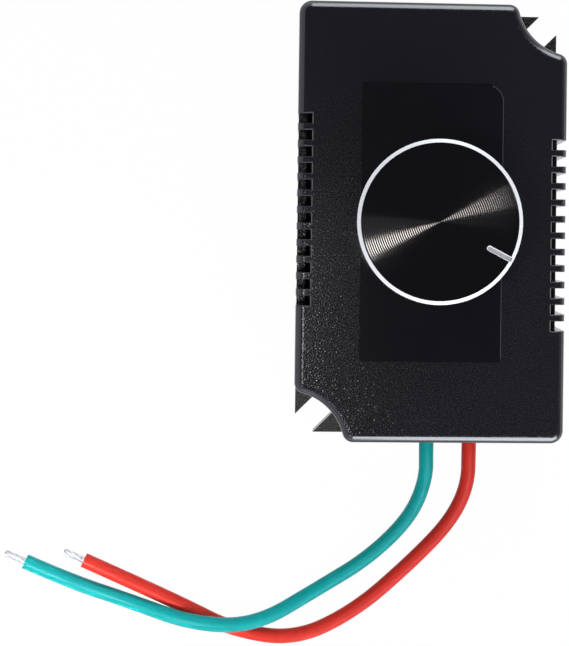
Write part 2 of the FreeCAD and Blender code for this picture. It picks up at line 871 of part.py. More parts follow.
def build_pot_front():
    bore = shaft_radius + shaft_clearance
    bush_top = pot_front + bush_length
    body = turned_piece("pot_front", [
        (bore, front_under),
        (pot_radius - can_thick - fit_gap, front_under),
        (pot_radius - can_thick - fit_gap, pot_front),
        (bush_radius, pot_front),
        (bush_radius, bush_top - shaft_chamfer),
        (bush_radius - shaft_chamfer / 2, bush_top),
        (bore, bush_top),
    ])
    return place(body, spindle_x)


def build_pot_track():
    body = new_body("pot_track")
    wafer = new_sketch(body, "wafer", track_under)
    circle(wafer, zero, zero, pot_radius - can_thick - fit_gap)
    circle(wafer, zero, zero, clip_outer_radius + stop_gap)
    pad(body, wafer, "track_wafer", track_thick)
    tongue = new_sketch(body, "tongue", track_under)
    half = tag_pitch + tag_width
    rectangle(tongue, -half, half, -tag_reach, -clip_outer_radius - past)
    pad(body, tongue, "track_tongue", track_thick)
    return place(body, spindle_x)


def build_pot_tags():
    body = new_body("pot_tags")
    body.AllowCompound = True
    side = new_sketch(body, "side", spindle_x - tag_pitch - tag_width / 2, role="YZ_Plane")
    under = track_under - tag_thick
    polygon(side, [
        (-tag_reach, board_under - pin_stub),
        (-tag_reach + tag_thick, board_under - pin_stub),
        (-tag_reach + tag_thick, under),
        (-pot_radius - stop_gap, under),
        (-pot_radius - stop_gap, track_under),
        (-tag_reach, track_under),
    ])
    first_tag = pad(body, side, "first_tag", tag_width)
    row_of(body, first_tag, "tags", "X_Axis", 3, tag_pitch)
    return body


def build_pot_can():
    inner = pot_radius - can_thick
    floor = board_top + can_thick
    body = turned_piece("pot_can", [
        (zero, board_top),
        (pot_radius, board_top),
        (pot_radius, front_under),
        (inner, front_under),
        (inner, floor),
        (zero, floor),
    ])
    # The stop fills the part of the turn that the rotor's arm does not sweep
    stop = new_sketch(body, "stop", floor - can_thick / 2)
    down = as_size(-90)
    spread = 360 - travel_angle - arm_angle - 2 * stop_play
    sector(stop, rotor_radius + stop_gap, inner + can_thick / 2, down, spread)
    pad(body, stop, "stop_block", track_under - wiper_space - floor + can_thick / 2)
    gate = new_sketch(body, "gate", track_under - stop_gap)
    half = tag_pitch + tag_width + stop_gap
    rectangle(gate, -half, half, -pot_radius - past, zero)
    pocket(body, gate, "gate_cut", track_thick + stop_gap + past)

    # Lugs rise beside the front plate and fold over its edge
    lug_top = pot_front + can_thick
    lug = new_sketch(body, "lug", -tag_width, role="XZ_Plane")
    polygon(lug, [
        (inner, front_under - can_thick),
        (pot_radius, front_under - can_thick),
        (pot_radius, lug_top),
        (inner - 2 * can_thick, lug_top),
        (inner - 2 * can_thick, pot_front),
        (inner, pot_front),
    ])
    first_lug = pad(body, lug, "first_lug", 2 * tag_width)
    ring_of(body, first_lug, "lugs", 2)
    return place(body, spindle_x)


def build_pot_washer():
    foot = cover_top - label_sink
    body = turned_piece("pot_washer", [
        (bush_radius + hole_clearance, foot),
        (washer_radius, foot),
        (washer_radius, foot + washer_thick),
        (bush_radius + hole_clearance, foot + washer_thick),
    ])
    return place(body, spindle_x)


def build_pot_nut():
    body = new_body("pot_nut")
    face = new_sketch(body, "face", cover_top - label_sink + washer_thick)
    flat = nut_flats / 2
    corner = flat / cosine(hexagon_half_angle)
    half = corner / 2
    polygon(face, [(corner, zero), (half, flat), (-half, flat),
                   (-corner, zero), (-half, -flat), (half, -flat)])
    circle(face, zero, zero, bush_radius + fit_gap)
    pad(body, face, "nut_block", nut_thick)
    return place(body, spindle_x)


# Board: carried on four hexagonal standoffs, with the small parts' pins through it

def build_standoffs():
    posts = []
    corner = standoff_flats / 2 / cosine(hexagon_half_angle)
    for number, (x, y) in enumerate(standoff_places):
        name = f"standoff_{number + 1}"
        hexagon = primitive("Prism", f"{name}_body", x, y, plate_thick,
                            Circumradius=corner, Height=standoff_height)
        hexagon.Polygon = 6
        stud = primitive("Cylinder", f"{name}_stud", x, y, fit_gap,
                         Radius=screw_radius, Height=plate_thick)
        bore = primitive("Cylinder", f"{name}_bore", x, y, board_under - tap_depth,
                         Radius=screw_radius + fit_gap, Height=tap_depth)
        posts.append(cut(name, fuse(f"{name}_solid", [hexagon, stud]), bore))
    return group("standoffs", posts)


def build_board_screws():
    screws = []
    for number, (x, y) in enumerate(standoff_places):
        name = f"board_screw_{number + 1}"
        reach = tap_depth - screw_play
        shank = primitive("Cylinder", f"{name}_shank", x, y, board_under - reach,
                          Radius=screw_radius, Height=reach + board_thick)
        head = primitive("Cone", f"{name}_head", x, y, board_top,
                         Radius1=screw_head_radius, Radius2=screw_crown_radius,
                         Height=screw_head_height)
        drive = drive_cross(f"{name}_drive", x, y, board_top + screw_head_height - drive_depth)
        screws.append(cut(name, fuse(f"{name}_solid", [shank, head]), drive))
    return group("board_screws", screws)


def drive_cross(name, x, y, level):
    """The cross recess of a screw, as two crossed slots."""
    long = screw_head_radius
    thin = drive_width
    lengthwise = primitive("Box", f"{name}_x", x - long / 2, y - thin / 2, level,
                           Length=long, Width=thin, Height=drive_depth)
    across = primitive("Box", f"{name}_y", x - thin / 2, y - long / 2, level,
                       Length=thin, Width=long, Height=drive_depth)
    return fuse(name, [lengthwise, across])


def build_cover_screws():
    screws = []
    for number, (x, y) in enumerate(((-boss_x, boss_y), (boss_x, -boss_y))):
        name = f"cover_screw_{number + 1}"
        cone = screw_head_radius - screw_radius
        head = primitive("Cone", f"{name}_head", x, y, fit_gap,
                         Radius1=screw_head_radius, Radius2=screw_radius, Height=cone)
        shank = primitive("Cylinder", f"{name}_shank", x, y, fit_gap,
                          Radius=screw_radius, Height=cover_screw_length)
        drive = drive_cross(f"{name}_drive", x, y, fit_gap)
        screws.append(cut(name, fuse(f"{name}_solid", [shank, head]), drive))
    return group("cover_screws", screws)


def build_board():
    body = new_body("circuit_board")
    sheet_outline = new_sketch(body, "sheet_outline", board_under)
    rectangle(sheet_outline, -board_width / 2, board_width / 2, -board_length / 2, board_length / 2)
    pad(body, sheet_outline, "laminate", board_thick)
    holes = new_sketch(body, "holes", board_under)
    for x, y in standoff_places:
        circle(holes, x, y, screw_radius + hole_clearance)
    circle(holes, triac_x, triac_screw_y, access_radius)
    for x, y in pin_places():
        circle(holes, x, y, pin_radius + hole_clearance)
    for x in (green_exit_x, red_exit_x):
        circle(holes, x, lead_pad_y, strand_radius + hole_clearance)
    for number in (-1, 0, 1):
        leg_x = triac_x + number * leg_pitch
        hole_box(holes, leg_x, triac_legs_y + leg_thick / 2, leg_width, leg_thick)
        hole_box(holes, spindle_x + number * tag_pitch, -tag_reach + tag_thick / 2, tag_width, tag_thick)
    pocket(body, holes, "hole_cuts", board_thick)
    return body


def hole_box(sketch, x, y, wide, long):
    half_x = wide / 2 + hole_clearance
    half_y = long / 2 + hole_clearance
    rectangle(sketch, x - half_x, x + half_x, y - half_y, y + half_y)


def pin_places():
    """Where the wire ends of the capacitors, resistors and trigger diode pass the board."""
    places = []
    for x in (-capacitor_x, capacitor_x):
        places += [(x - capacitor_pitch / 2, capacitor_y), (x + capacitor_pitch / 2, capacitor_y)]
    for x in resistor_columns:
        places += [(x, resistor_y - resistor_pitch / 2), (x, resistor_y + resistor_pitch / 2)]
    places += [(diac_x, resistor_y - diac_pitch / 2), (diac_x, resistor_y + diac_pitch / 2)]
    return places


def build_capacitors():
    blocks = []
    for number, x in enumerate((-capacitor_x, capacitor_x)):
        name = f"capacitor_{number + 1}"
        half_x = capacitor_length / 2
        half_y = capacitor_width / 2
        box = new_body(f"{name}_box")
        foot = new_sketch(box, "foot", board_top + pin_radius)
        rectangle(foot, x - half_x, x + half_x, capacitor_y - half_y, capacitor_y + half_y)
        pad(box, foot, "block", capacitor_height)
        round_edges(box, "dipped_edges", capacitor_round, lambda edge: True)
        pins = []
        for side in (-1, 1):
            pins.append(primitive("Cylinder", f"{name}_pin_{2 + side}", x + side * capacitor_pitch / 2,
                                  capacitor_y, board_under - pin_stub,
                                  Radius=pin_radius, Height=board_thick + pin_stub + 2 * pin_radius))
        blocks.append(fuse(name, [box] + pins))
    return group("film_capacitors", blocks)


def axial_part(name, x, radius, length, pitch):
    """A small part lying along Y on its two bent wires, which pass through the board."""
    axis = board_top + radius + pin_radius
    body = primitive("Cylinder", f"{name}_body", x, resistor_y + length / 2, axis,
                     Radius=radius, Height=length)
    wire = primitive("Cylinder", f"{name}_wire", x, resistor_y + pitch / 2, axis,
                     Radius=pin_radius, Height=pitch)
    for lying in (body, wire):
        lying.Placement.Rotation = Rotation(Vector(1, 0, 0), 90)
    pieces = [body, wire]
    for side in (-1, 1):
        y = resistor_y + side * pitch / 2
        pieces.append(primitive("Cylinder", f"{name}_pin_{2 + side}", x, y, board_under - pin_stub,
                                Radius=pin_radius, Height=axis - board_under + pin_stub))
        pieces.append(primitive("Sphere", f"{name}_bend_{2 + side}", x, y, axis, Radius=pin_radius))
    return fuse(name, pieces)


def build_resistors():
    return group("resistors", [axial_part(f"resistor_{number + 1}", x, resistor_radius, resistor_length,
                                          resistor_pitch) for number, x in enumerate(resistor_columns)])


def build_diac():
    diac = axial_part("diac", diac_x, diac_radius, diac_length, diac_pitch)
    diac.Label = "diac"
    return diac


# Triac: a three-legged power switch screwed flat to the base under the board

def build_triac_tab():
    body = new_body("triac_tab")
    plate = new_sketch(body, "plate", plate_thick)
    half = triac_width / 2
    rectangle(plate, triac_x - half, triac_x + half, triac_face_y, triac_face_y + triac_body + tab_length)
    circle(plate, triac_x, triac_screw_y, screw_radius + hole_clearance)
    pad(body, plate, "tab_plate", tab_thick)
    return body


def build_triac_body():
    body = new_body("triac_body")
    block = new_sketch(body, "block", plate_thick + tab_thick)
    half = triac_width / 2
    rectangle(block, triac_x - half, triac_x + half, triac_face_y, triac_face_y + triac_body)
    pad(body, block, "moulding", triac_thick - tab_thick, taper=-mould_angle)
    return body


def build_triac_legs():
    body = new_body("triac_legs")
    body.AllowCompound = True
    level = plate_thick + leg_lift
    side = new_sketch(body, "side", triac_x - leg_pitch - leg_width / 2, role="YZ_Plane")
    polygon(side, [
        (triac_face_y + fit_gap, level),
        (triac_face_y + fit_gap, level + leg_thick),
        (triac_legs_y + leg_thick, level + leg_thick),
        (triac_legs_y + leg_thick, board_top + pin_stub),
        (triac_legs_y, board_top + pin_stub),
        (triac_legs_y, level),
    ])
    first_leg = pad(body, side, "first_leg", leg_width)
    row_of(body, first_leg, "legs", "X_Axis", 3, leg_pitch)
    return body


def build_triac_screw():
    seat = plate_thick + tab_thick + washer_thick
    shank = primitive("Cylinder", "triac_screw_shank", triac_x, triac_screw_y, screw_play,
                      Radius=screw_radius, Height=seat - screw_play)
    head = primitive("Cone", "triac_screw_head", triac_x, triac_screw_y, seat,
                     Radius1=screw_head_radius, Radius2=screw_crown_radius, Height=screw_head_height)
    drive = drive_cross("triac_screw_drive", triac_x, triac_screw_y,
                        seat + screw_head_height - drive_depth)
    screw = cut("triac_screw", fuse("triac_screw_solid", [shank, head]), drive)
    screw.Label = "triac_screw"
    return screw


def build_triac_washer():
    foot = plate_thick + tab_thick
    body = turned_piece("triac_washer", [
        (screw_radius + hole_clearance, foot),
        (screw_head_radius, foot),
        (screw_head_radius, foot + washer_thick),
        (screw_radius + hole_clearance, foot + washer_thick),
    ])
    return place(body, triac_x, triac_screw_y)


# Leads: each lies loose from its solder pad, out through the end wall and along the bench

# The part of a straight run that each of its bends may take
bend_share = 0.45


def rounded_path(points):
    """Straight runs joined by tangent arcs, each as large as its two runs allow."""
    edges = []
    radii = []
    start = points[0]
    for before, corner, after in zip(points[:-2], points[1:-1], points[2:]):
        way_in = (corner - before).normalize()
        way_out = (after - corner).normalize()
        half_turn = way_in.getAngle(way_out) / 2
        back = bend_share * min((corner - before).Length, (after - corner).Length)
        radii.append(back / math.tan(half_turn))
        inward = (way_out - way_in).normalize()
        centre = corner + inward * (radii[-1] / math.cos(half_turn))
        middle = centre - inward * radii[-1]
        first = corner - way_in * back
        last = corner + way_out * back
        edges.append(Part.LineSegment(start, first).toShape())
        edges.append(Part.Arc(first, middle, last).toShape())
        start = last
    edges.append(Part.LineSegment(start, points[-1]).toShape())
    return Part.Wire(edges), radii


def tube(name, points, radius):
    """A round solid along a route, set against its section times its length."""
    path, radii = rounded_path(points)
    way = (points[1] - points[0]).normalize()
    profile = Part.Wire(Part.Circle(points[0], way, radius).toShape())
    solid = path.makePipeShell([profile], True, True)
    expected = math.pi * radius ** 2 * path.Length
    print(f"{name}: length {path.Length:.2f}, radii {[round(bend, 1) for bend in radii]},",
          f"volume over section times length {solid.Volume / expected:.5f}")
    if abs(solid.Volume / expected - 1) > 0.002:
        raise RuntimeError(f"{name} is not a true tube")
    piece = doc.addObject("Part::Feature", name)
    piece.Label = name
    piece.Shape = solid
    return piece


def lead_points(exit_x, route):
    """The route from the insulation's inner end, straight through the end wall, then along the bench."""
    inside = [
        Vector(exit_x.value, lead_inner_y.value, lead_inner_z.value),
        Vector(exit_x.value, lead_bend_y.value, lead_level.value),
        Vector(exit_x.value, -half_length.value - lead_straight.value, lead_level.value),
    ]
    return inside + [Vector(x, -half_length.value - beyond, z) for x, beyond, z in route]


def build_lead_tip(name, points):
    """The bare tinned end beyond the insulation."""
    way = (points[-1] - points[-2]).normalize()
    core = Part.makeCylinder(strand_radius.value, strand_length.value, points[-1], way)
    middle = points[-1] + way * (strand_length.value / 2)
    far = [edge for edge in core.Edges
           if len(edge.Vertexes) == 1 and (edge.CenterOfMass - middle).dot(way) > 0]
    piece = doc.addObject("Part::Feature", name)
    piece.Label = name
    piece.Shape = core.makeChamfer(strand_radius.value / 3, far)
    return piece


def build_solder_ends():
    """The bare inner ends, bent up through the board."""
    ends = []
    for name, exit_x in (("green_solder_end", green_exit_x), ("red_solder_end", red_exit_x)):
        inner = Vector(exit_x.value, lead_inner_y.value, lead_inner_z.value)
        way = (inner - Vector(exit_x.value, lead_bend_y.value, lead_level.value)).normalize()
        pad_y = lead_pad_y.value
        corner = inner + way * ((pad_y - inner.y) / way.y)
        points = [inner, corner, Vector(exit_x.value, pad_y, board_top.value + pin_stub.value)]
        ends.append(tube(name, points, strand_radius.value))
    return group("lead_solder_ends", ends)


# Routes along the bench, chosen by hand, as places across the case, beyond its end wall and above the
# bench: the green lead climbs over the red one where they cross
bench = (lead_radius + bench_gap).value
over = bench + 4 * lead_radius.value
green_route = [
    (0.7, 10.3, 4.4), (-2.6, 19.0, 1.9), (-11.5, 27.8, bench), (-22.5, 34.9, bench),
    (-35.6, 42.2, over), (-48.9, 41.9, over), (-63.7, 37.2, bench), (-75.5, 33.0, bench),
    (-85.3, 28.7, bench),
]
red_route = [
    (9.8, 11.5, 4.2), (6.2, 19.8, 1.9), (-2.4, 28.8, bench), (-14.3, 39.3, bench),
    (-27.4, 45.6, bench), (-41.2, 42.7, bench), (-50.5, 37.8, bench), (-62.0, 33.2, bench),
    (-72.8, 28.4, bench),
]

for build in (build_heat_sink, build_cover, build_label, build_knob_cap, build_knob_core,
              build_pot_shaft, build_pot_clip, build_pot_rotor, build_pot_wiper, build_pot_front,
              build_pot_track, build_pot_tags, build_pot_can, build_pot_washer, build_pot_nut,
              build_standoffs, build_board_screws, build_cover_screws, build_board, build_capacitors,
              build_resistors, build_diac, build_triac_tab, build_triac_body, build_triac_legs,
              build_triac_screw, build_triac_washer):
    keep(build())

for colour, exit_x, route in (("green", green_exit_x, green_route), ("red", red_exit_x, red_route)):
    points = lead_points(exit_x, route)
    keep(tube(f"{colour}_lead", points, lead_radius.value))
    keep(build_lead_tip(f"{colour}_lead_tip", points))
keep(build_solder_ends())

doc.recompute()

# Nothing may have failed, and every piece must be a valid shape, before anything is written
for item in doc.Objects:
    if "Invalid" in item.State or "Error" in item.State:
        raise RuntimeError(f"{item.Name} failed: {item.State}")
for piece in nodes:
    if piece.Shape.isNull() or not piece.Shape.isValid():
        raise RuntimeError(f"{piece.Label} is not a valid shape")

os.makedirs("parts", exist_ok=True)
for piece in nodes:
    piece.Shape.exportStep(os.path.join("parts", f"{piece.Label}.step"))
    print(f"{piece.Label}: {len(piece.Shape.Solids)} solids, {piece.Shape.Volume:.1f} mm3")
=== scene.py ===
# %% [markdown]
# # A fan speed control, dressed for its portrait
# The solids of this regulator come from its CAD model: a black vented cover on an extruded heat
# sink, a turned knob on a potentiometer, a small board and two wires. Here they get their
# finishes, the wires are laid as real wires lie, and the things that CAD leaves plain are added:
# twisted strands, solder joints, turning marks and moulded texture. Everything is in metres, in
# the CAD model's own frame, with its underside at height zero and the knob pointing up.

import json
import math

import bmesh
import bpy
from mathutils import Matrix, Vector


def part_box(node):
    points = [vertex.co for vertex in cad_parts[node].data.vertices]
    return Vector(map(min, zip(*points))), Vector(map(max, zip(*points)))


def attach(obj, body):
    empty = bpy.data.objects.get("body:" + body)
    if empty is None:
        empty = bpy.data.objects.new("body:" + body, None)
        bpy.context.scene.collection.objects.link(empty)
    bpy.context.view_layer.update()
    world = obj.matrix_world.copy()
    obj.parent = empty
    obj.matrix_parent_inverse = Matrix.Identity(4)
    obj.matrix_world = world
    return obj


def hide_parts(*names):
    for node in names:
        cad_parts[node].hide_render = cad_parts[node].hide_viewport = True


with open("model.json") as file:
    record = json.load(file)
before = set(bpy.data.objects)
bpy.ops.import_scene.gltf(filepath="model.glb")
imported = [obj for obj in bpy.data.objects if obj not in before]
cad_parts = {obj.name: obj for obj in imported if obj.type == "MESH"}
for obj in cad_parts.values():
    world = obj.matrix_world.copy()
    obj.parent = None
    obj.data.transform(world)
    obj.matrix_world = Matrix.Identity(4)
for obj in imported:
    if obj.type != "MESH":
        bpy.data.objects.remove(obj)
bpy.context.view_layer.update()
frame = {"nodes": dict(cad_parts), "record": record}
solids = frame["nodes"]
mm = 0.001

# %% [markdown]
# ## The camera
# The photograph was taken from straight above, a third of a metre away, and cropped afterwards so
# that the object sits at the upper right. A crop moves the picture's centre away from the lens
# axis, and a camera's shift does the same thing. Turning the camera towards the crop's centre
# would look similar but would tilt the case's upright walls, which here show almost evenly.

# %% Camera
view = bpy.data.cameras.new("camera")
view.sensor_width = 36
view.lens = 89.92
view.shift_x = -0.2252
view.shift_y = -0.1563
view.clip_start = 0.01
view.clip_end = 20
camera = bpy.data.objects.new("camera", view)
camera.location = (-0.01837, -0.00295, 0.35386)
camera.rotation_euler = (0.0086, -0.0550, 0.0130)
bpy.context.scene.collection.objects.link(camera)
bpy.context.scene.camera = camera
print("camera at", [round(c, 3) for c in camera.location])

# %% [markdown]
# ## Two wires on the bench
# Each wire is copper strand in a PVC sleeve, 3.15 mm thick. It leaves through the end wall just
# above the base, sinks to the bench under its own weight and wanders off to the left, and the
# green one rides over the red one where they cross. Each is laid as a NURBS curve, which bends as
# evenly as a real sleeve does from only a dozen points. Its order is set after the points, because
# a spline with too few points falls back to straight runs. The curve without its thickness gives
# the centre line and the one with it gives the tube, and the tube is kept as a mesh so that the
# rim of its cut ends can be rounded.

# %% Wires
sleeve_radius = 1.575 * mm
cut_round = 0.35 * mm
in_board = 9.25
at_wall = 6.675
on_bench = 1.6
over_red = 5.3
wire_routes = {
    "green": [
        (0.5, -33.0, in_board), (0.5, -40.0, at_wall), (0.5, -48.5, at_wall),
        (0.7, -55.5, 4.4), (-2.6, -64.2, 1.9), (-11.5, -73.0, on_bench),
        (-22.5, -79.7, on_bench), (-35.6, -86.8, over_red), (-48.9, -86.5, over_red),
        (-63.7, -82.1, on_bench), (-75.5, -78.2, on_bench), (-85.3, -73.9, on_bench),
    ],
    "red": [
        (9.7, -33.0, in_board), (9.7, -40.0, at_wall), (9.7, -48.5, at_wall),
        (9.8, -56.7, 4.2), (6.2, -65.0, 1.9), (-2.4, -74.0, on_bench),
        (-14.3, -84.5, on_bench), (-27.4, -90.8, on_bench), (-41.2, -88.4, on_bench),
        (-50.5, -83.7, on_bench), (-62.0, -78.4, on_bench), (-72.8, -73.6, on_bench),
    ],
}


def add_object(name, mesh_data):
    """A new mesh piece; its object sits at the origin."""
    piece = bpy.data.objects.new(name, mesh_data)
    bpy.context.scene.collection.objects.link(piece)
    return piece


def mesh_from(name, bm, smooth=40):
    """The finished mesh of a bmesh, smooth but for edges sharper than an angle in degrees."""
    data = bpy.data.meshes.new(name)
    bm.to_mesh(data)
    bm.free()
    data.polygons.foreach_set("use_smooth", [True] * len(data.polygons))
    data.set_sharp_from_angle(angle=math.radians(smooth))
    return data


def lay_wire(name, route):
    """A wire's tube and the points of its centre line."""
    line = bpy.data.curves.new(name, "CURVE")
    line.dimensions = "3D"
    spline = line.splines.new("NURBS")
    spline.points.add(len(route) - 1)
    for point, place in zip(spline.points, route):
        point.co = (*(c * mm for c in place), 1)
    spline.use_endpoint_u = True
    spline.order_u = 3
    spline.resolution_u = 12
    laid = bpy.data.objects.new(name, line)
    centre_line = [vertex.co.copy() for vertex in bpy.data.meshes.new_from_object(laid).vertices]
    line.bevel_depth = sleeve_radius
    line.bevel_resolution = 8
    line.use_fill_caps = True
    bm = bmesh.new()
    bm.from_mesh(bpy.data.meshes.new_from_object(laid))
    bpy.data.objects.remove(laid)
    bmesh.ops.remove_doubles(bm, verts=bm.verts, dist=0.01 * mm)
    rims = [edge for edge in bm.edges if any(len(face.verts) > 4 for face in edge.link_faces)]
    bmesh.ops.bevel(bm, geom=rims, offset=cut_round, affect="EDGES", segments=2, profile=0.5,
                    material=-1)
    bmesh.ops.recalc_face_normals(bm, faces=bm.faces)
    return add_object(name, mesh_from(name, bm)), centre_line


wires = {}
centre_lines = {}
for colour, route in wire_routes.items():
    wires[colour], centre_lines[colour] = lay_wire(f"{colour}_wire", route)
print("wires laid:", {colour: len(points) for colour, points in centre_lines.items()}, "points")

# %% [markdown]
# ## Bare ends
# Beyond the sleeve the strands stay twisted and are dipped in solder. One strand is a small
# circle that turns about the wire's axis while it moves along it, which is what spin with a
# step along its axis makes. Six such strands go round a straight one, as in the real bundle, and
# the whole bundle is made upright and then tipped into line with the wire's end.

# %% Strands
strand_radius = 0.25 * mm
lay_radius = 0.43 * mm
bare_length = 4.7 * mm
outer_strands = 6
twist = math.radians(150)
twist_steps = 16
tip_taper = 0.8


def twist_strands(name, centre_line):
    """One straight strand and the others round it, from the last point of a wire's centre line."""
    before, end = centre_line[-2:]
    along = (end - before).normalized()
    bm = bmesh.new()
    for number in range(1 + outer_strands):
        reach = lay_radius if number else 0
        angle = math.tau * number / outer_strands
        foot = Matrix.Translation((reach * math.cos(angle), reach * math.sin(angle), 0))
        ring = bmesh.ops.create_circle(bm, segments=10, radius=strand_radius, matrix=foot, cap_ends=True)
        face = ring["verts"][0].link_faces[0]
        swept = bmesh.ops.spin(
            bm, geom=[face, *face.verts, *face.edges], cent=(0, 0, 0), axis=(0, 0, 1),
            dvec=(0, 0, bare_length / twist_steps), angle=twist, steps=twist_steps, use_duplicate=False)
        tip = [v for v in swept["geom_last"] if isinstance(v, bmesh.types.BMVert)]
        bmesh.ops.scale(bm, vec=(tip_taper, tip_taper, 1), verts=tip)
    bmesh.ops.recalc_face_normals(bm, faces=bm.faces)
    bmesh.ops.rotate(bm, matrix=along.to_track_quat("Z", "Y").to_matrix(), verts=bm.verts)
    bmesh.ops.translate(bm, vec=end, verts=bm.verts)
    return add_object(name, mesh_from(name, bm))


strands = {colour: twist_strands(f"{colour}_strands", line) for colour, line in centre_lines.items()}
for colour, route in wire_routes.items():
    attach(wires[colour], "case")
    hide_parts(f"{colour}_lead")
    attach(strands[colour], "case")
    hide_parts(f"{colour}_lead_tip")
print("strands:", {name: len(piece.data.polygons) for name, piece in strands.items()}, "faces")

# %% [markdown]
# ## Studio
# The photograph has a pure white background and quiet, dark reflections: a white table, white
# screens low down but few to the right, a taller grey screen on the left, which evens out the
# left rounded edge, and a dark ceiling where the camera stands. A small warm lamp high on the
# left draws the bow-tie on the knob and lights the cover's grain from one side, and a faint one
# beside it gives the bow-tie its fringe. Two large cool lamps, beyond the case and before it,
# stand too low for any flat face to mirror them and to the right of the left hollow corner, so
# they show only in the other rounded edges. A narrow beam brightens the wires' far ends. A world
# that is one even white would be simpler, but every glossy black face would turn grey under it.
# What the camera sees directly is plain white, and so is the table to the camera and in
# reflections, with a little of its real shading kept so that the object still rests in its own
# shadow.


# %% Signals: sums written as sums
class Signal:
    """A socket of a node tree that can be used in plain arithmetic."""

    def __init__(self, tree, socket):
        self.tree = tree
        self.socket = socket

    def sum(self, operation, *values, clamp=False):
        node = self.tree.nodes.new("ShaderNodeMath")
        node.operation = operation
        node.use_clamp = clamp
        for socket, value in zip(node.inputs, values):
            if isinstance(value, Signal):
                self.tree.links.new(value.socket, socket)
            else:
                socket.default_value = value
        return Signal(self.tree, node.outputs[0])

    def __add__(self, other):
        return self.sum("ADD", self, other)

    def __radd__(self, other):
        return self.sum("ADD", other, self)

    def __sub__(self, other):
        return self.sum("SUBTRACT", self, other)

    def __rsub__(self, other):
        return self.sum("SUBTRACT", other, self)

    def __mul__(self, other):
        return self.sum("MULTIPLY", self, other)

    def __rmul__(self, other):
        return self.sum("MULTIPLY", other, self)

    def __truediv__(self, other):
        return self.sum("DIVIDE", self, other)

    def __pow__(self, other):
        return self.sum("POWER", self, other)

    def __abs__(self):
        return self.sum("ABSOLUTE", self)

    def __gt__(self, other):
        return self.sum("GREATER_THAN", self, other)

    def __lt__(self, other):
        return self.sum("LESS_THAN", self, other)

    def sine(self):
        return self.sum("SINE", self)

    def root(self):
        return self.sum("SQRT", self)

    def angle_from(self, other):
        return self.sum("ARCTAN2", self, other)

    def at_most(self, other):
        return self.sum("MINIMUM", self, other)

    def at_least(self, other):
        return self.sum("MAXIMUM", self, other)

    def clamped(self):
        return self.sum("ADD", self, 0.0, clamp=True)

    def ramp(self, low_end, high_end):
        """0 below low_end, 1 above high_end and a straight rise between them."""
        return ((self - low_end) / (high_end - low_end)).clamped()


class Recipe:
    """A node tree with one method that makes every kind of node but Math."""

    def __init__(self, tree):
        self.tree = tree
        tree.nodes.clear()

    def node(self, kind, settings=None, inputs=None, out=0):
        node = self.tree.nodes.new(f"ShaderNode{kind}")
        for key, value in (settings or {}).items():
            setattr(node, key, value)
        for key, value in (inputs or {}).items():
            socket = node.inputs[key]
            if isinstance(value, Signal):
                self.tree.links.new(value.socket, socket)
            else:
                socket.default_value = value
        return Signal(self.tree, node.outputs[out]) if node.outputs else None

    def blend(self, mask, first, second):
        """The first colour where the mask is 0 and the second where it is 1."""
        factor, first_colour, second_colour, colour_result = 0, 6, 7, 2
        return self.node("Mix", {"data_type": "RGBA"},
                         {factor: mask, first_colour: first, second_colour: second}, out=colour_result)

    def seen_directly(self):
        """1 for the camera and for what mirrors and glass show, 0 for the light itself."""
        rays = [self.node("LightPath", out=kind)
                for kind in ("Is Camera Ray", "Is Glossy Ray", "Is Transmission Ray")]
        return (rays[0] + rays[1] + rays[2]).clamped()


print("signals and recipes ready")

# %% World, table and lamps
white = (1, 1, 1, 1)
world = bpy.data.worlds.new("studio")
bpy.context.scene.world = world
world.use_nodes = True
sky = Recipe(world.node_tree)
direction = sky.node("TexCoord", out="Generated")
rightward, height = (sky.node("SeparateXYZ", inputs={"Vector": direction}, out=axis) for axis in "XZ")
ceiling_light = 0.12
screen_light = 0.62
left_screen_share = 0.45
left_screen = 1.0 - rightward.ramp(-0.55, -0.42)
low_screens = (1.0 - height.ramp(0.3, 0.8)) * (1.0 - 0.9 * rightward.ramp(0.1, 0.6))
screens = low_screens * (1.0 - left_screen) + left_screen_share * left_screen
to_camera = sky.node("LightPath", out="Is Camera Ray")
strength = to_camera + (1.0 - to_camera) * (ceiling_light + screen_light * screens)
tint = sky.blend(to_camera, (0.80, 0.84, 1.0, 1), white)
background = sky.node("Background", inputs={"Color": tint, "Strength": strength})
sky.node("OutputWorld", inputs={"Surface": background})

table_half = 2.5
bm = bmesh.new()
bmesh.ops.create_grid(bm, x_segments=1, y_segments=1, size=table_half)
table = add_object("table", mesh_from("table", bm))
table_top = bpy.data.materials.new("table_top")
table_top.use_nodes = True
paper = Recipe(table_top.node_tree)
shaded = paper.node("BsdfDiffuse", inputs={"Color": (0.86, 0.86, 0.86, 1)})
plain = paper.node("Emission", inputs={"Color": white, "Strength": 1.0})
plain_share = 0.98
mostly_plain = paper.seen_directly() * plain_share
paper_surface = paper.node("MixShader", inputs={0: mostly_plain, 1: shaded, 2: plain})
paper.node("OutputMaterial", inputs={"Surface": paper_surface})
table.data.materials.append(table_top)


def hang_lamp(name, place, size, power, tint, aim=(0, 0, 0.03), beam=180):
    """A soft rectangular lamp; beam is the full angle in degrees over which it shines."""
    lamp = bpy.data.lights.new(name, "AREA")
    lamp.color = tint
    lamp.spread = math.radians(beam)
    lamp.shape = "RECTANGLE"
    lamp.size, lamp.size_y = size
    lamp.energy = power
    holder = bpy.data.objects.new(name, lamp)
    holder.location = place
    holder.rotation_euler = (Vector(aim) - Vector(place)).to_track_quat("-Z", "Y").to_euler()
    bpy.context.scene.collection.objects.link(holder)


